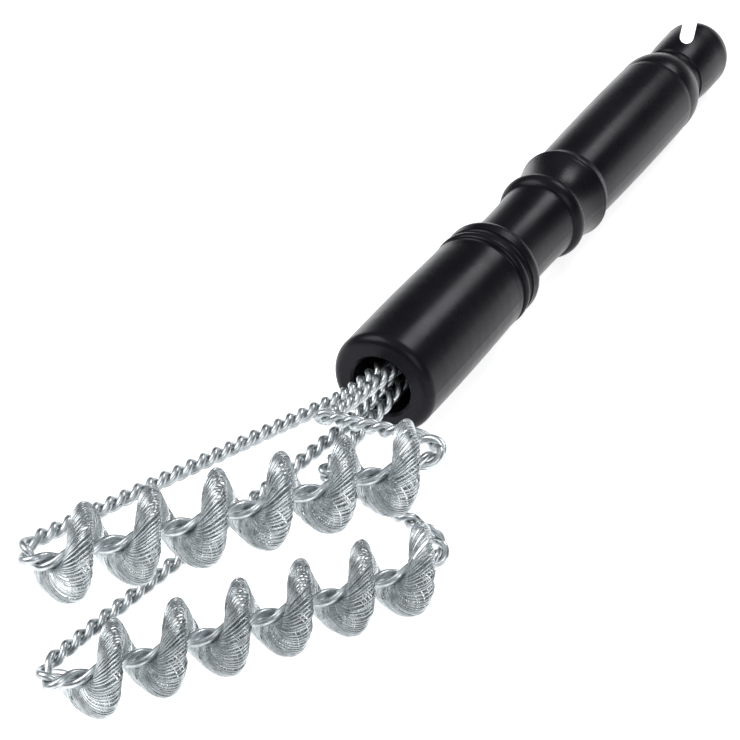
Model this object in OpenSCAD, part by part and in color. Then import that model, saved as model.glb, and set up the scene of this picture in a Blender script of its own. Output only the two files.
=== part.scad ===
// Grill cleaning brush: two closed loops of twisted steel wire, each carrying a
// helix of fine wire coil, fixed in a turned plastic handle.
// The fine wire is wound in flat oval loops that stand out to one side of the
// twisted wire and turn round it like the thread of a screw.
// Each loop is built along its own row first (the head frame: X along the row from
// nose to heel, Y across, Z towards the stems). The whole brush is then laid on its
// side, where it rests on the coils of the right loop and the end of the handle.

/* [Handle] */
// Outer diameter of the front barrel, mm
barrel_d = 33; // [30:0.5:36]
// Length of the front barrel, mm
barrel_l = 78; // [74:1:80]
// Diameter of the waist behind the barrel, mm
waist_d = 25; // [23:0.5:27]
// Diameter of the grip at its middle, mm
grip_d = 30; // [28:0.5:32]
// Diameter of the rounded end of the handle, mm
knob_d = 25; // [22:0.5:27]
// Angle between the handle and the rows of coils, degrees
handle_tilt = 38; // [36:0.5:40]

/* [Wire] */
// Diameter of one strand of the twisted wire, mm
strand_d = 2.35; // [2:0.05:2.5]
// Length of one turn of the close twist, mm
twist_pitch = 9.4; // [8:0.2:12]

/* [Coils] */
// Outer diameter of the coil helix, mm
coil_d = 25.4; // [23:0.2:27]
// Length of one turn of the coil helix, mm
coil_step = 17.67; // [16:0.1:20]
// Width of the oval loops, mm
loop_w = 9.6; // [8:0.1:10.5]
// Wall of the tube that stands for the loops, mm
coil_t = 0.4; // [0.35:0.05:0.6]

/* [Hidden] */
// Where the rows and the mouth of the handle lie in the head frame
row_x0 = -45.5;
row_x1 = 57;
nose_y = 19.9;
heel_y = 17.3;
mouth = [71.4, 0, 61.4];
// The direction, in the head frame, that points down when the brush lies at rest,
// and the place of the head frame's origin then
rest_down = [0.02, 1, 0.0643];
rest_shift = [-151.08, 2.2, 31.4];
// A place along X where the loops of each coil (left, right) point at node_angle
first_node = [-31.5, -28];
node_angle = 54.4;
// How far the loops stand ahead of strand a, degrees
loop_lead = 35;
// The loops lean along the row by this much at their tips, and tilt by this angle
loop_lean = 3.2;
// How far the coils start before the rows, and where they end (left, right)
coil_early = 0.8;
coil_end = [54.4, 56.4];
loop_tilt = -30;

// Twisted wire: strand centres stand off the rope's centreline by this much
close_off = strand_d / 2 + 0.03;
row_off = strand_d / 2 + 0.1;
strand_sides = 6;
rings_per_turn = 8;
rings_per_row_turn = 11;
coil_in_r = row_off + strand_d / 2 + 0.05;
oval_sides = 10;
ovals_per_turn = 14;

// Handle stations along its axis, measured from the mouth, mm
rope_gap = 2.7;
rope_end = 38;
bore_r = 9.5;
bore_l = 47;
plug_start = 30;
plug_hole_r = 2.85;
waist_l = 23;
bead1_l = 11;
bead2_l = 19;
grip_l = 84;
neck_l = 3;
knob_l = 32;
curve_fn = 96;

axis_dir = [cos(handle_tilt), 0, sin(handle_tilt)];
axis_up = [-sin(handle_tilt), 0, cos(handle_tilt)];
stem_dir = unit([0.908, -0.130, 0.397]);
tail_dir = unit([0.86, -0.17, 0.48]);
heel_out = unit([-0.54, -0.14, 0.83]);

nose_top = [row_x0, nose_y, 9.7];
stem_end = nose_top + 110 * stem_dir;
heel_end = [61.5, 14.9, 15.5];
elbow_in = [46.6, 11, 38.4];
elbow_out = [48, 8.3, 43.4];
stem_deep = mouth + rope_end * axis_dir + rope_gap * axis_up + [0, rope_gap, 0];
tail_deep = mouth + rope_end * axis_dir - rope_gap * axis_up + [0, rope_gap, 0];

// The runs of one loop, in order from the handle and back to it: four control
// points, number of twist turns, strand offset at each end
runs = [
    [[stem_deep, stem_deep - 22 * axis_dir, stem_end + 12 * stem_dir, stem_end],
        5.5, close_off, close_off],
    [[stem_end, stem_end - 36 * stem_dir, nose_top + 36 * stem_dir, nose_top],
        110 / twist_pitch, close_off, close_off],
    [[nose_top, nose_top - 6.5 * stem_dir, [row_x0 - 5.6, nose_y, 0],
        [row_x0, nose_y, 0]], 1, close_off, row_off],
    [[[row_x0, nose_y, 0], [row_x0 + 34, nose_y - 0.9, 0],
        [row_x1 - 34, heel_y + 0.9, 0], [row_x1, heel_y, 0]],
        (row_x1 - row_x0) / coil_step, row_off, row_off],
    [[[row_x1, heel_y, 0], [row_x1 + 9, heel_y - 0.2, 0],
        heel_end - 9 * heel_out, heel_end], 1.5, row_off, close_off],
    [[heel_end, heel_end + 9 * heel_out, elbow_in - 9 * unit(elbow_in - heel_end),
        elbow_in], 27 / twist_pitch, close_off, close_off],
    [[elbow_in, elbow_in + 4 * unit(elbow_in - heel_end), elbow_out - 4 * tail_dir,
        elbow_out], 0.8, close_off, close_off],
    [[elbow_out, elbow_out + 14 * tail_dir, tail_deep - 22 * axis_dir, tail_deep],
        66 / twist_pitch, close_off, close_off]
];
INLET = 0; STEM = 1; NOSE = 2; CORE = 3; HEEL = 4; CROSS = 5; ELBOW = 6; TAIL = 7;

function unit(v) = v / norm(v);
function bez(c, t) = pow(1 - t, 3) * c[0] + 3 * t * pow(1 - t, 2) * c[1]
    + 3 * t * t * (1 - t) * c[2] + pow(t, 3) * c[3];
function dbez(c, t) = 3 * pow(1 - t, 2) * (c[1] - c[0])
    + 6 * t * (1 - t) * (c[2] - c[1]) + 3 * t * t * (c[3] - c[2]);
function sided(p, side) = [p[0], p[1] * side, p[2]];
// Sum of the turns of runs a to b - 1
function turns(a, b) = a >= b ? 0 : runs[a][1] + turns(a + 1, b);
// The direction in which the loops point at x along a row
function loop_angle(side, x) = node_angle
    - 360 * (x - first_node[side < 0 ? 0 : 1]) / coil_step;
function core_angle(side) = loop_angle(side, row_x0) - loop_lead;
function start_angle(run, side) = run <= CORE
    ? core_angle(side) + 360 * turns(run, CORE)
    : core_angle(side) - 360 * turns(CORE, run);

// Centre of a strand at t along a run, and its radial direction from the rope's line
function strand_radial(run, side, turn0, t) =
    let (c = [for (p = runs[run][0]) sided(p, side)], d = unit(dbez(c, t)),
        n1 = unit([0, 1, 0] - d[1] * d), n2 = cross(d, n1),
        a = start_angle(run, side) + turn0 - 360 * runs[run][1] * t)
    n1 * cos(a) + n2 * sin(a);
function strand_point(run, side, turn0, t) =
    let (c = [for (p = runs[run][0]) sided(p, side)],
        off = runs[run][2] + (runs[run][3] - runs[run][2]) * t)
    bez(c, t) + off * strand_radial(run, side, turn0, t);

// One strand of one run: a round bar swept along its own helical line
module strand(run, side, turn0) {
    per_turn = run == CORE ? rings_per_row_turn : rings_per_turn + 2;
    n = ceil(runs[run][1] * (run == STEM ? rings_per_turn : per_turn)) + 3;
    m = strand_sides;
    points = [for (i = [0:n]) let (t = i / n, h = 0.002,
        p = strand_point(run, side, turn0, t),
        dir = unit(strand_point(run, side, turn0, t + h)
            - strand_point(run, side, turn0, t - h)),
        r0 = strand_radial(run, side, turn0, t),
        u = unit(r0 - (r0 * dir) * dir), w = cross(dir, u))
        for (j = [0:m - 1]) p + strand_d / 2 * (u * cos(360 * j / m)
            + w * sin(360 * j / m))];
    faces = concat([[for (j = [0:m - 1]) j]],
        [[for (j = [0:m - 1]) n * m + m - 1 - j]],
        [for (i = [0:n - 1], j = [0:m - 1]) let (k = (j + 1) % m)
            [i * m + j, (i + 1) * m + j, i * m + k]],
        [for (i = [0:n - 1], j = [0:m - 1]) let (k = (j + 1) % m)
            [i * m + k, (i + 1) * m + j, (i + 1) * m + k]]);
    polyhedron(points, faces);
}

// One coil: the oval loops as a thin-walled tube that winds round strand a
module coil(side) {
    x0 = row_x0 - coil_early;
    x1 = coil_end[side < 0 ? 0 : 1];
    n = ceil((x1 - x0) / coil_step * ovals_per_turn);
    m = oval_sides;
    mid_r = (coil_d / 2 + coil_in_r) / 2;
    half_r = (coil_d / 2 - coil_in_r) / 2;
    points = [for (i = [0:n]) let (x = x0 + (x1 - x0) * i / n, a = loop_angle(side, x),
        y = side * (nose_y + (heel_y - nose_y) * (x - row_x0) / (row_x1 - row_x0)),
        out = [0, cos(a), sin(a)], turn = [0, -sin(a), cos(a)],
        wide = [cos(loop_tilt), 0, 0] + sin(loop_tilt) * turn)
        for (wall = [0, coil_t], j = [0:m - 1])
            let (r = mid_r + (half_r - wall) * cos(360 * j / m),
                w = (loop_w / 2 - wall) * sin(360 * j / m))
            [x + loop_lean * 2 * r / coil_d, y, 0] + r * out + w * wide];
    k = 2 * m;
    faces = concat(
        [for (j = [0:m - 1]) let (q = (j + 1) % m) [j, q, m + q, m + j]],
        [for (j = [0:m - 1]) let (q = (j + 1) % m)
            [n * k + q, n * k + j, n * k + m + j, n * k + m + q]],
        [for (i = [0:n - 1], j = [0:m - 1], f = [0, 1]) let (q = (j + 1) % m)
            f == 0 ? [i * k + q, i * k + j, (i + 1) * k + j]
                : [i * k + q, (i + 1) * k + j, (i + 1) * k + q]],
        [for (i = [0:n - 1], j = [m:k - 1], f = [0, 1]) let (q = m + (j + 1 - m) % m)
            f == 0 ? [i * k + j, i * k + q, (i + 1) * k + j]
                : [i * k + q, (i + 1) * k + q, (i + 1) * k + j]]);
    polyhedron(points, faces);
}

// Points of a round edge: centre, radius, from angle to angle
function arc(c, r, a0, a1, n = 8) =
    [for (i = [0:n]) c + r * [cos(a0 + (a1 - a0) * i / n), sin(a0 + (a1 - a0) * i / n)]];
function bow(s0, r0, s1, r1, rise, n = 10) = [for (i = [0:n]) let (t = i / n)
    [r0 + (r1 - r0) * t + rise * 4 * t * (1 - t), s0 + (s1 - s0) * t]];

// The outline of the handle as radius and distance from the mouth
rb = barrel_d / 2;
rw = waist_d / 2;
rg = grip_d / 2;
rk = knob_d / 2;
s_waist = barrel_l + waist_l;
s_bead2 = s_waist + bead1_l;
s_grip = s_bead2 + bead2_l;
s_neck = s_grip + grip_l;
s_end = s_neck + neck_l + knob_l;
ring_w = 4;
groove_r = 0.9;
handle_outline = concat(
    [[0, 0]], arc([rb - 3.2, 3.2], 3.2, -90, 0, 10),
    bow(6, rb, barrel_l - 19, rb - 0.2, 0.25),
    arc([rb - 0.1, barrel_l - 15.5], groove_r, -90, -270, 6),
    arc([rb - ring_w / 2 + 0.2, barrel_l - 15.5 + groove_r + ring_w / 2],
        ring_w / 2, -50, 50, 6),
    arc([rb - 0.3, barrel_l - 9.3], groove_r, -90, -270, 6),
    arc([rb - 4.3, barrel_l - 6], 4.3, 0, 80, 8),
    bow(barrel_l - 1, rw + 0.4, s_waist + 4, rw + 0.6, -0.35),
    arc([rw - 1.5, s_bead2 - 2.5], 3.9, -58, 30, 10),
    bow(s_bead2 + 0.4, rw + 1.5, s_grip - 6.5, rw + 2.75, -0.5, 8),
    arc([rw + 0.9, s_grip - 5], 2.2, -30, 60, 8),
    bow(s_grip - 0.6, rg - 1, s_neck - 16, rg - 0.25, 0.35, 16),
    bow(s_neck - 14, rg - 0.4, s_neck, rk - 0.8, 1.2, 12),
    [[rk - 1.4, s_neck + 0.6], [rk - 1.4, s_neck + neck_l]],
    bow(s_neck + neck_l + 0.6, rk - 0.9, s_end - 15, rk - 0.1, 0.25, 8),
    arc([rk - 11.5, s_end - 11.5], 11.5, 5, 84, 12),
    [[0, s_end]]);

// The hanging notch: a rounded slot through the flank of the end knob
notch_r = 2.5;
notch_at = [-5.73, -3.29, -3.52];
notch_dir = [-0.322, 0.433, 0.84];

module handle_body() {
    color([0.05, 0.05, 0.055])
    difference() {
        rotate_extrude($fn = curve_fn) polygon(handle_outline);
        translate([0, 0, -1]) cylinder(r = bore_r, h = bore_l + 1, $fn = curve_fn);
        translate([0, 0, -0.01])
            cylinder(r1 = bore_r + 0.8, r2 = bore_r, h = 0.81, $fn = curve_fn);
        translate([notch_at[0], notch_at[1], s_end + notch_at[2]])
        rotate([0, acos(notch_dir[2]), atan2(notch_dir[1], notch_dir[0])])
        rotate([0, 0, notch_turn]) {
            cylinder(r = notch_r, h = 70, center = true, $fn = 48);
            translate([0, -notch_r, -35]) cube([20, 2 * notch_r, 70]);
        }
    }
}
// Turns the slot's open side to the nearer flank of the knob
notch_turn = 149;

module anchor_plug() {
    color([0.3, 0.3, 0.3])
    difference() {
        translate([0, 0, plug_start])
            cylinder(r = bore_r - 0.05, h = bore_l - plug_start - 0.05, $fn = curve_fn);
        for (x = [-1, 1], y = [-1, 1])
            translate([x * rope_gap, y * rope_gap, plug_start - 1])
            cylinder(r = plug_hole_r, h = rope_end - plug_start + 1.6, $fn = 32);
    }
}

rest_z = -unit(rest_down);
rest_x = unit(axis_dir - (axis_dir * rest_z) * rest_z);
rest_y = cross(rest_z, rest_x);
module to_rest() {
    multmatrix([concat(rest_x, rest_shift[0]), concat(rest_y, rest_shift[1]),
        concat(rest_z, rest_shift[2]), [0, 0, 0, 1]]) children();
}
module on_handle() {
    to_rest() translate(mouth) rotate([0, 90 - handle_tilt, 0]) children();
}
module wire(run, side, turn0) {
    color([0.75, 0.77, 0.78]) to_rest() strand(run, side, turn0);
}

on_handle() handle_body();
on_handle() anchor_plug();
color([0.8, 0.8, 0.8]) to_rest() coil(-1);  // coil_left
color([0.8, 0.8, 0.8]) to_rest() coil(1);  // coil_right
wire(INLET, -1, 0);  // inlet_left_a
wire(INLET, -1, 180);  // inlet_left_b
wire(INLET, 1, 0);  // inlet_right_a
wire(INLET, 1, 180);  // inlet_right_b
wire(STEM, -1, 0);  // stem_left_a
wire(STEM, -1, 180);  // stem_left_b
wire(STEM, 1, 0);  // stem_right_a
wire(STEM, 1, 180);  // stem_right_b
wire(NOSE, -1, 0);  // nose_left_a
wire(NOSE, -1, 180);  // nose_left_b
wire(NOSE, 1, 0);  // nose_right_a
wire(NOSE, 1, 180);  // nose_right_b
wire(CORE, -1, 0);  // core_left_a
wire(CORE, -1, 180);  // core_left_b
wire(CORE, 1, 0);  // core_right_a
wire(CORE, 1, 180);  // core_right_b
wire(HEEL, -1, 0);  // heel_left_a
wire(HEEL, -1, 180);  // heel_left_b
wire(HEEL, 1, 0);  // heel_right_a
wire(HEEL, 1, 180);  // heel_right_b
wire(CROSS, -1, 0);  // cross_left_a
wire(CROSS, -1, 180);  // cross_left_b
wire(CROSS, 1, 0);  // cross_right_a
wire(CROSS, 1, 180);  // cross_right_b
wire(ELBOW, -1, 0);  // elbow_left_a
wire(ELBOW, -1, 180);  // elbow_left_b
wire(ELBOW, 1, 0);  // elbow_right_a
wire(ELBOW, 1, 180);  // elbow_right_b
wire(TAIL, -1, 0);  // tail_left_a
wire(TAIL, -1, 180);  // tail_left_b
wire(TAIL, 1, 0);  // tail_right_a
wire(TAIL, 1, 180);  // tail_right_b
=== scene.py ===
"""Grill cleaning brush: steel wire loops with helical coils in a black handle.

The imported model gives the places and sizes. This script adds the finely
twisted wire, the looped coils, the finishes, the floor, the lamps and the camera.
"""

import math

import bpy
import numpy as np
from bpy.props import (
    FloatProperty,
    FloatVectorProperty,
    IntProperty,
    PointerProperty,
)
from mathutils import Matrix


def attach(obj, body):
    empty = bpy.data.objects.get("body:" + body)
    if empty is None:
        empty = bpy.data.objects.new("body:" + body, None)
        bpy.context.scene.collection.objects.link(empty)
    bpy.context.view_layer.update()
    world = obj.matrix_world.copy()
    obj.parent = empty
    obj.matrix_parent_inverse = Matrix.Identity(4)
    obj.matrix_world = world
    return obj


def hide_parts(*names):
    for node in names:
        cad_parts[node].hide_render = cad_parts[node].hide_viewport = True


bl_info = {
    "name": "Grill Brush Builder",
    "version": (1, 0, 0),
    "blender": (4, 5, 0),
    "location": "3D View > Sidebar > Grill Brush",
    "description": "Builds a grill cleaning brush with coiled steel wire",
    "category": "Object",
}

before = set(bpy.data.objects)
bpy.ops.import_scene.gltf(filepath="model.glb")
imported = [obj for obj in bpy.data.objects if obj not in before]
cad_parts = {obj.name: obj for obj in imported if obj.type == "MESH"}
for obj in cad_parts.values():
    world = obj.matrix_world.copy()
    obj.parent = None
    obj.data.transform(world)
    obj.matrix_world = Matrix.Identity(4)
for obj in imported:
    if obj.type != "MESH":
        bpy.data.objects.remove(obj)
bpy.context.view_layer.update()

MM = 0.001


# ---------------------------------------------------------------- places


def unit(v):
    """A vector of length one."""
    v = np.asarray(v, float)
    return v / np.linalg.norm(v)


# The head frame has X along the rows of coils from nose to heel, Y across them
# and Z towards the stems. All its lengths here are in millimetres.
TILT = math.radians(38)
AXIS = np.array([math.cos(TILT), 0, math.sin(TILT)])
AXIS_UP = np.array([-math.sin(TILT), 0, math.cos(TILT)])
MOUTH = np.array([71.4, 0, 61.4])
REST_Z = -unit([0.02, 1, 0.0643])
REST_X = unit(AXIS - (AXIS @ REST_Z) * REST_Z)
TO_REST = np.array([REST_X, np.cross(REST_Z, REST_X), REST_Z])
REST_SHIFT = np.array([-151.08, 2.2, 31.4])
Y_AXIS = np.array([0.0, 1.0, 0.0])


def at_rest(points):
    """Points of the head frame where the brush lies at rest, in metres."""
    return (np.asarray(points, float) @ TO_REST.T + REST_SHIFT) * MM


ROW_X0, ROW_X1 = -45.5, 57.0
NOSE_Y, HEEL_Y = 19.9, 17.3
STEM_DIR = unit([0.908, -0.130, 0.397])
TAIL_DIR = unit([0.86, -0.17, 0.48])
HEEL_OUT = unit([-0.54, -0.14, 0.83])
NOSE_TOP = np.array([ROW_X0, NOSE_Y, 9.7])
STEM_L = 110
STEM_END = NOSE_TOP + STEM_L * STEM_DIR
HEEL_END = np.array([61.5, 14.9, 15.5])
ELBOW_IN = np.array([46.6, 11, 38.4])
ELBOW_OUT = np.array([48, 8.3, 43.4])
CROSS_DIR = unit(ELBOW_IN - HEEL_END)
# The wires end this deep in the handle, and stand this far off its axis.
ROPE_END = 38
ROPE_GAP = 2.7
STEM_DEEP = MOUTH + ROPE_END * AXIS + ROPE_GAP * AXIS_UP + [0, ROPE_GAP, 0]
TAIL_DEEP = MOUTH + ROPE_END * AXIS - ROPE_GAP * AXIS_UP + [0, ROPE_GAP, 0]
TWIST_PITCH = 9.4
# How far a strand's centre stands off the twisted wire's line, outside the rows
# and in them.
CLOSE, OPEN = 1.205, 1.275

# The coils, by side: -1 is the left row and 1 the right row. At FIRST_NODE along X
# the loops point at NODE_ANGLE.
COIL_STEP = 17.67
FIRST_NODE = {-1: -31.5, 1: -28.0}
NODE_ANGLE = 54.4
# How far the loops stand ahead of strand a, in degrees.
LOOP_LEAD = 35
COIL_START = ROW_X0 - 0.7
COIL_END = {-1: 54.3, 1: 56.3}
# The inner ends of the loops stand this far off the row's line, and their tips
# lean this far towards the heel.
LOOP_IN = 0.1
LOOP_LEAN = 3.2
LOOP_TILT = math.radians(-30)
# How uneven the loops are: in size, in direction (degrees) and in lean.
LOOP_WOBBLE = 0.012
LOOP_SWAY = 1.5
LEAN_SWAY = 0.2
COIL_SEED = 7

# Each run of a loop: name, four control points, turns, strand offset at each end.
RUNS = [
    ("inlet", [STEM_DEEP, STEM_DEEP - 22 * AXIS, STEM_END + 12 * STEM_DIR, STEM_END],
     5.5, CLOSE, CLOSE),
    ("stem", [STEM_END, STEM_END - 36 * STEM_DIR, NOSE_TOP + 36 * STEM_DIR, NOSE_TOP],
     STEM_L / TWIST_PITCH, CLOSE, CLOSE),
    ("nose", [NOSE_TOP, NOSE_TOP - 6.5 * STEM_DIR, np.array([ROW_X0 - 5.6, NOSE_Y, 0]),
              np.array([ROW_X0, NOSE_Y, 0])], 1, CLOSE, OPEN),
    ("core", [np.array([ROW_X0, NOSE_Y, 0]), np.array([ROW_X0 + 34, NOSE_Y - 0.9, 0]),
              np.array([ROW_X1 - 34, HEEL_Y + 0.9, 0]), np.array([ROW_X1, HEEL_Y, 0])],
     (ROW_X1 - ROW_X0) / COIL_STEP, OPEN, OPEN),
    ("heel", [np.array([ROW_X1, HEEL_Y, 0]), np.array([ROW_X1 + 9, HEEL_Y - 0.2, 0]),
              HEEL_END - 9 * HEEL_OUT, HEEL_END], 1.5, OPEN, CLOSE),
    ("cross", [HEEL_END, HEEL_END + 9 * HEEL_OUT, ELBOW_IN - 9 * CROSS_DIR, ELBOW_IN],
     27 / TWIST_PITCH, CLOSE, CLOSE),
    ("elbow", [ELBOW_IN, ELBOW_IN + 4 * CROSS_DIR, ELBOW_OUT - 4 * TAIL_DIR, ELBOW_OUT],
     0.8, CLOSE, CLOSE),
    ("tail", [ELBOW_OUT, ELBOW_OUT + 14 * TAIL_DIR, TAIL_DEEP - 22 * AXIS, TAIL_DEEP],
     66 / TWIST_PITCH, CLOSE, CLOSE),
]
RUN_NAMES = [run[0] for run in RUNS]
CORE_RUN = RUN_NAMES.index("core")

# Rings of mesh in one turn of the twist, in the rows and elsewhere, and sides.
CORE_RINGS = 40
TWIST_RINGS = 22
STRAND_SIDES = 14
COIL_SIDES = 6
# The fine wire's rings start on the side that faces this way.
RING_START = [0.123, 0.456, 0.881]


def bezier(c, t):
    """Points and directions of a cubic at each t."""
    t = t[:, None]
    p = (1 - t) ** 3 * c[0] + 3 * t * (1 - t) ** 2 * c[1]
    p = p + 3 * t * t * (1 - t) * c[2] + t**3 * c[3]
    d = (1 - t) ** 2 * (c[1] - c[0]) + 2 * t * (1 - t) * (c[2] - c[1])
    d = d + t * t * (c[3] - c[2])
    return p, d / np.linalg.norm(d, axis=1)[:, None]


def loop_angle(side, x):
    """The direction in which the loops point at x along a row, in degrees."""
    return NODE_ANGLE - 360 * (x - FIRST_NODE[side]) / COIL_STEP


def rope_line(side):
    """The centreline of one loop with its direction, strand angle and offset."""
    points, directions, angles, offsets = [], [], [], []
    core = loop_angle(side, ROW_X0) - LOOP_LEAD
    angle = core + 360 * sum(run[2] for run in RUNS[:CORE_RUN])
    for name, control, turns, off0, off1 in RUNS:
        c = [np.array(p) * [1, side, 1] for p in control]
        n = int(turns * (CORE_RINGS if name == "core" else TWIST_RINGS))
        t = np.arange(n) / n
        p, d = bezier(c, t)
        points.append(p)
        directions.append(d)
        angles.append(angle - 360 * turns * t)
        offsets.append(off0 + (off1 - off0) * t)
        angle -= 360 * turns
    return [np.concatenate(x) for x in (points, directions, angles, offsets)]


# ---------------------------------------------------------------- meshes


def tube_mesh(line, radius, sides, guide):
    """The rings and quads of a tube. Each ring starts on the side that guide faces."""
    d = np.gradient(line, axis=0)
    d /= np.linalg.norm(d, axis=1)[:, None]
    u = guide - (guide * d).sum(1)[:, None] * d
    u /= np.linalg.norm(u, axis=1)[:, None]
    w = np.cross(d, u)
    a = np.arange(sides) * 2 * math.pi / sides
    rings = line[:, None] + radius * (
        np.cos(a)[None, :, None] * u[:, None] + np.sin(a)[None, :, None] * w[:, None]
    )
    n = len(line)
    verts = rings.reshape(-1, 3)
    i = np.arange(n - 1)[:, None] * sides
    j = np.arange(sides)[None, :]
    k = (j + 1) % sides
    quads = np.stack([i + j, i + k, i + sides + k, i + sides + j], -1).reshape(-1, 4)
    return verts, quads


def make_object(name, verts, quads, caps, material):
    """A Blender object from arrays: quads and a few many-sided caps."""
    mesh = bpy.data.meshes.new(name)
    mesh.from_pydata(verts.tolist(), [], quads.tolist() + [list(c) for c in caps])
    mesh.validate()
    mesh.polygons.foreach_set("use_smooth", [True] * len(mesh.polygons))
    obj = bpy.data.objects.new(name, mesh)
    bpy.context.collection.objects.link(obj)
    mesh.materials.append(material)
    return obj


def tube_object(name, line, radius, sides, material, guide):
    """A tube along a line of points in metres, with its ends closed."""
    verts, quads = tube_mesh(line, radius, sides, guide)
    caps = [range(sides - 1, -1, -1), range(len(verts) - sides, len(verts))]
    return make_object(name, verts, quads, caps, material)


# ---------------------------------------------------------------- finishes


def new_material(name):
    """An empty node material with its shader and output."""
    old = bpy.data.materials.get(name)
    if old:
        bpy.data.materials.remove(old)
    mat = bpy.data.materials.new(name)
    mat.use_nodes = True
    nodes = mat.node_tree.nodes
    nodes.clear()
    shader = nodes.new("ShaderNodeBsdfPrincipled")
    out = nodes.new("ShaderNodeOutputMaterial")
    mat.node_tree.links.new(shader.outputs["BSDF"], out.inputs["Surface"])
    return mat, mat.node_tree, shader


def noise(tree, scale, detail, rough=0.55):
    """A noise in object space."""
    coord = tree.nodes.new("ShaderNodeTexCoord")
    tex = tree.nodes.new("ShaderNodeTexNoise")
    tex.inputs["Scale"].default_value = scale
    tex.inputs["Detail"].default_value = detail
    tex.inputs["Roughness"].default_value = rough
    tree.links.new(coord.outputs["Object"], tex.inputs["Vector"])
    return tex.outputs["Fac"]


def ramp(tree, value, stops):
    """A colour ramp over a value."""
    node = tree.nodes.new("ShaderNodeValToRGB")
    tree.links.new(value, node.inputs["Fac"])
    elements = node.color_ramp.elements
    while len(elements) < len(stops):
        elements.new(0.5)
    for element, (place, colour) in zip(elements, stops, strict=True):
        element.position = place
        element.color = (*colour, 1)
    return node.outputs["Color"]


# Noise stays mostly between these values.
NOISE_LOW, NOISE_HIGH = 0.3, 0.7


def spread(tree, value, low, high):
    """The usual range of a noise moved to low..high."""
    node = tree.nodes.new("ShaderNodeMapRange")
    tree.links.new(value, node.inputs["Value"])
    node.inputs["From Min"].default_value = NOISE_LOW
    node.inputs["From Max"].default_value = NOISE_HIGH
    node.inputs["To Min"].default_value = low
    node.inputs["To Max"].default_value = high
    return node.outputs["Result"]


def bump(tree, shader, height, strength, distance, after=None):
    """A bump from a height, on top of an earlier one if given."""
    node = tree.nodes.new("ShaderNodeBump")
    node.inputs["Strength"].default_value = strength
    node.inputs["Distance"].default_value = distance
    tree.links.new(height, node.inputs["Height"])
    if after:
        tree.links.new(after, node.inputs["Normal"])
    tree.links.new(node.outputs["Normal"], shader.inputs["Normal"])
    return node.outputs["Normal"]


def zinc_wire(name, colour, dark, low, high):
    """Bright zinc-coated wire: patchy sheen with fine drawing marks."""
    mat, tree, shader = new_material(name)
    shader.inputs["Metallic"].default_value = 1.0
    patches = noise(tree, 420, 3)
    base = ramp(tree, patches, [(0.3, dark), (0.62, colour)])
    tree.links.new(base, shader.inputs["Base Color"])
    rough = spread(tree, noise(tree, 900, 4), low, high)
    tree.links.new(rough, shader.inputs["Roughness"])
    marks = noise(tree, 2600, 5)
    bump(tree, shader, marks, 0.25, 0.00004)
    return mat


def black_plastic(name, colour, low, high):
    """Moulded black plastic: satin gloss with faint flow marks and handling wear."""
    mat, tree, shader = new_material(name)
    cloud = noise(tree, 35, 4)
    paler = tuple(min(1.0, c * 1.5 + 0.004) for c in colour)
    base = ramp(tree, cloud, [(0.3, tuple(colour)), (0.75, paler)])
    tree.links.new(base, shader.inputs["Base Color"])
    scuff = noise(tree, 90, 6, 0.5)
    tree.links.new(spread(tree, scuff, low, high), shader.inputs["Roughness"])
    shader.inputs["Specular IOR Level"].default_value = 0.14
    shader.inputs["Specular Tint"].default_value = (0.92, 0.9, 1, 1)
    shader.inputs["IOR"].default_value = 1.49
    first = bump(tree, shader, noise(tree, 60, 2), 0.05, 0.0004)
    bump(tree, shader, noise(tree, 1800, 4), 0.03, 0.00004, first)
    return mat


# ---------------------------------------------------------------- settings


class BrushSettings(bpy.types.PropertyGroup):
    """Sizes and colours of the brush."""

    strand_diameter: FloatProperty(
        name="Strand", description="Thickness of one strand of the twisted wire",
        default=2.24 * MM, min=0.001, max=0.003, unit="LENGTH", precision=5)
    coil_wire: FloatProperty(
        name="Coil Wire", description="Thickness of the fine wire of the coils",
        default=0.5 * MM, min=0.0002, max=0.001, unit="LENGTH", precision=5)
    coil_diameter: FloatProperty(
        name="Coil Diameter", description="Outer diameter of the coil helix",
        default=24.7 * MM, min=0.015, max=0.04, unit="LENGTH")
    loop_width: FloatProperty(
        name="Loop Width", description="Width of one oval loop of the fine wire",
        default=9.4 * MM, min=0.003, max=0.02, unit="LENGTH")
    loops_per_turn: IntProperty(
        name="Loops per Turn", description="Loops in one turn of the coil helix",
        default=70, min=10, max=120)
    loop_points: IntProperty(
        name="Loop Points", description="Points along one loop of the fine wire",
        default=32, min=16, max=96)
    steel_colour: FloatVectorProperty(
        name="Steel", description="Colour of the zinc-coated wire",
        default=(0.66, 0.7, 0.72), min=0, max=1, subtype="COLOR")
    handle_colour: FloatVectorProperty(
        name="Handle", description="Colour of the handle plastic",
        default=(0.0042, 0.0038, 0.0055), min=0, max=1, subtype="COLOR")


# ---------------------------------------------------------------- pieces


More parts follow.
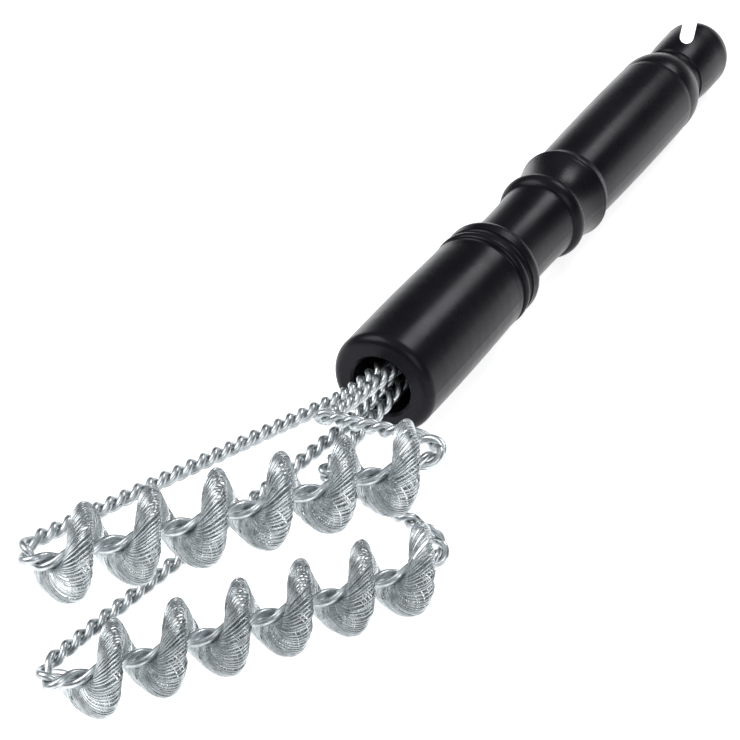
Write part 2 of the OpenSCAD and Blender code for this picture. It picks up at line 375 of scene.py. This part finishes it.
class BRUSH_OT_twisted_wire(bpy.types.Operator):
    """Makes the four strands that twist together along the two loops"""

    bl_idname = "brush.twisted_wire"
    bl_label = "Twisted Wire"

    def execute(self, context):
        s = context.scene.brush_settings
        steel = tuple(s.steel_colour)
        mat = zinc_wire("zinc_strand", steel, tuple(c * 0.55 for c in steel), 0.26, 0.42)
        for side, side_name in ((-1, "left"), (1, "right")):
            p, d, angle, off = rope_line(side)
            n1 = Y_AXIS - d[:, 1][:, None] * d
            n1 /= np.linalg.norm(n1, axis=1)[:, None]
            n2 = np.cross(d, n1)
            for letter, turn in (("a", 0), ("b", 180)):
                a = np.radians(angle + turn)[:, None]
                out = n1 * np.cos(a) + n2 * np.sin(a)
                line = at_rest(p + off[:, None] * out)
                guide = out @ TO_REST.T
                obj = tube_object(f"strand_{side_name}_{letter}", line,
                                  s.strand_diameter / 2, STRAND_SIDES, mat, guide)
                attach(obj, "root")
                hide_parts(*[f"{run}_{side_name}_{letter}" for run in RUN_NAMES])
        return {"FINISHED"}


def coil_line(s, side):
    """The line of the fine wire: oval loops that turn round the twisted wire."""
    wire = s.coil_wire / MM
    tip = (s.coil_diameter / MM - wire) / 2
    half_w = (s.loop_width / MM - wire) / 2
    step = COIL_STEP / s.loops_per_turn
    loops = int((COIL_END[side] - COIL_START) / step)
    at = np.arange(loops * s.loop_points + 1) / s.loop_points
    rng = np.random.default_rng(COIL_SEED + side)
    knots = np.arange(loops + 2)
    uneven = [np.interp(at, knots, rng.normal(0, 1, loops + 2)) for _ in range(4)]
    t = 2 * math.pi * at
    reach = (tip - LOOP_IN) / 2 * (1 - LOOP_WOBBLE * np.abs(uneven[0]))
    r = LOOP_IN + reach * (1 - np.cos(t))
    w = half_w * (1 - LOOP_WOBBLE * np.abs(uneven[1])) * np.sin(t)
    x = COIL_START + step * at
    angle = np.radians(loop_angle(side, x) + LOOP_SWAY * uneven[2])
    lean = (LOOP_LEAN + LEAN_SWAY * uneven[3]) * r / tip
    slope = (HEEL_Y - NOSE_Y) / (ROW_X1 - ROW_X0)
    y = side * (NOSE_Y + slope * (x - ROW_X0))
    turn = w * math.sin(LOOP_TILT)
    return np.stack([x + lean + w * math.cos(LOOP_TILT),
                     y + r * np.cos(angle) - turn * np.sin(angle),
                     r * np.sin(angle) + turn * np.cos(angle)], 1)


class BRUSH_OT_wire_coils(bpy.types.Operator):
    """Makes the fine wire coils that scrub the grill"""

    bl_idname = "brush.wire_coils"
    bl_label = "Wire Coils"

    def execute(self, context):
        s = context.scene.brush_settings
        steel = tuple(s.steel_colour)
        mat = zinc_wire("bright_coil", steel, tuple(c * 0.62 for c in steel), 0.22, 0.36)
        for side, side_name in ((-1, "left"), (1, "right")):
            line = at_rest(coil_line(s, side))
            guide = np.tile(RING_START, (len(line), 1))
            obj = tube_object(f"wire_coil_{side_name}", line, s.coil_wire / 2,
                              COIL_SIDES, mat, guide)
            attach(obj, "root")
            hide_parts(f"coil_{side_name}")
        return {"FINISHED"}


class BRUSH_OT_handle(bpy.types.Operator):
    """Finishes the handle and the plug that holds the wires in it"""

    bl_idname = "brush.handle"
    bl_label = "Handle"

    def execute(self, context):
        s = context.scene.brush_settings
        colour = tuple(s.handle_colour)
        body = black_plastic("satin_black", colour, 0.25, 0.31)
        plug = black_plastic("dull_black", colour, 0.45, 0.6)
        for node, mat in (("handle_body", body), ("anchor_plug", plug)):
            obj = bpy.data.objects[node]
            for slot in obj.material_slots:
                slot.material = mat
        return {"FINISHED"}


# ---------------------------------------------------------------- stage

# The studio round the brush, from the floor's edge (0) to overhead (1): dark walls
# with a bright band low down and a soft ceiling.
SKY = [
    (0.0, (0.12, 0.125, 0.13)), (0.1, (0.55, 0.57, 0.6)), (0.22, (0.03, 0.03, 0.032)),
    (0.55, (0.05, 0.05, 0.052)), (0.8, (0.5, 0.52, 0.54)), (1.0, (0.6, 0.61, 0.62)),
]

# The camera's place and the point on the floor that it aims at, in metres.
CAMERA_AT = (-0.51683, -0.25599, 0.43746)
CAMERA_AIM = (-0.02203, 0.0303, 0)
CAMERA_ROLL = math.radians(-2.2)
SENSOR_W = 36
CAMERA_LENS = 112.2032

FLOOR_HALF = 6.0

# Each lamp: name, place, target, size in metres and power in watts.
LAMPS = [
    ("key", (-0.5, 0.9, 1.1), (0.05, 0, 0), 0.9, 14),
    ("fill", (-0.7, -0.9, 0.9), (0, 0, 0), 0.8, 5),
    ("rim", (0.9, -0.2, 0.8), (0.1, 0, 0), 0.4, 4),
]


def turned_to(at, target, roll=0.0):
    """The matrix of a lamp or camera at a place, turned to a target and rolled."""
    back = unit(np.array(at, float) - np.array(target, float))
    level = unit(np.cross([0, 0, 1], back))
    side = level * math.cos(roll) + np.cross(back, level) * math.sin(roll)
    up = np.cross(back, side)
    return Matrix(
        [[side[i], up[i], back[i], at[i]] for i in range(3)] + [[0, 0, 0, 1]])


def area_light(name, at, target, size, power):
    """A soft square lamp at a place, turned to a target, in metres."""
    lamp = bpy.data.lights.new(name, "AREA")
    lamp.shape = "SQUARE"
    lamp.size = size
    lamp.energy = power
    obj = bpy.data.objects.new(name, lamp)
    bpy.context.collection.objects.link(obj)
    obj.matrix_world = turned_to(at, target)


class BRUSH_OT_stage(bpy.types.Operator):
    """Sets the floor, the lamps and the camera"""

    bl_idname = "brush.stage"
    bl_label = "Stage"

    def execute(self, context):
        scene = context.scene
        mesh = bpy.data.meshes.new("floor")
        f = FLOOR_HALF
        mesh.from_pydata([(-f, -f, 0), (f, -f, 0), (f, f, 0), (-f, f, 0)], [],
                         [(0, 1, 2, 3)])
        floor = bpy.data.objects.new("floor", mesh)
        context.collection.objects.link(floor)
        mat, _, shader = new_material("pale_floor")
        shader.inputs["Base Color"].default_value = (0.9, 0.9, 0.9, 1)
        shader.inputs["Roughness"].default_value = 0.9
        shader.inputs["Specular IOR Level"].default_value = 0.1
        shader.inputs["Emission Color"].default_value = (1, 1, 1, 1)
        shader.inputs["Emission Strength"].default_value = 0.75
        mesh.materials.append(mat)

        world = bpy.data.worlds.new("studio")
        scene.world = world
        world.use_nodes = True
        tree = world.node_tree
        back = tree.nodes["Background"]
        coord = tree.nodes.new("ShaderNodeTexCoord")
        parts = tree.nodes.new("ShaderNodeSeparateXYZ")
        tree.links.new(coord.outputs["Generated"], parts.inputs["Vector"])
        sky = ramp(tree, parts.outputs["Z"], SKY)
        tree.links.new(sky, back.inputs["Color"])
        back.inputs["Strength"].default_value = 1.0

        for lamp in LAMPS:
            area_light(*lamp)

        cam = bpy.data.cameras.new("camera")
        cam.sensor_width = SENSOR_W
        cam.lens = CAMERA_LENS
        cam.clip_start = 0.01
        obj = bpy.data.objects.new("camera", cam)
        context.collection.objects.link(obj)
        obj.matrix_world = turned_to(CAMERA_AT, CAMERA_AIM, CAMERA_ROLL)
        scene.camera = obj
        scene.view_settings.view_transform = "Standard"
        scene.view_settings.look = "None"
        return {"FINISHED"}


class BRUSH_PT_panel(bpy.types.Panel):
    """Lists the steps that build the brush"""

    bl_label = "Grill Brush"
    bl_idname = "BRUSH_PT_panel"
    bl_space_type = "VIEW_3D"
    bl_region_type = "UI"
    bl_category = "Grill Brush"

    def draw(self, context):
        layout = self.layout
        settings = context.scene.brush_settings
        for name in BrushSettings.__annotations__:
            layout.prop(settings, name)
        for operator in OPERATORS:
            layout.operator(operator.bl_idname)


OPERATORS = (
    BRUSH_OT_twisted_wire,
    BRUSH_OT_wire_coils,
    BRUSH_OT_handle,
    BRUSH_OT_stage,
)
CLASSES = (BrushSettings, *OPERATORS, BRUSH_PT_panel)


def register():
    """Adds the classes and the settings."""
    for cls in CLASSES:
        bpy.utils.register_class(cls)
    bpy.types.Scene.brush_settings = PointerProperty(type=BrushSettings)


def unregister():
    """Removes the settings and the classes."""
    del bpy.types.Scene.brush_settings
    for cls in reversed(CLASSES):
        bpy.utils.unregister_class(cls)


def main():
    """Builds the brush and its stage."""
    register()
    bpy.ops.brush.twisted_wire()
    bpy.ops.brush.wire_coils()
    bpy.ops.brush.handle()
    bpy.ops.brush.stage()
    bpy.context.view_layer.update()


if __name__ == "__main__":
    main()
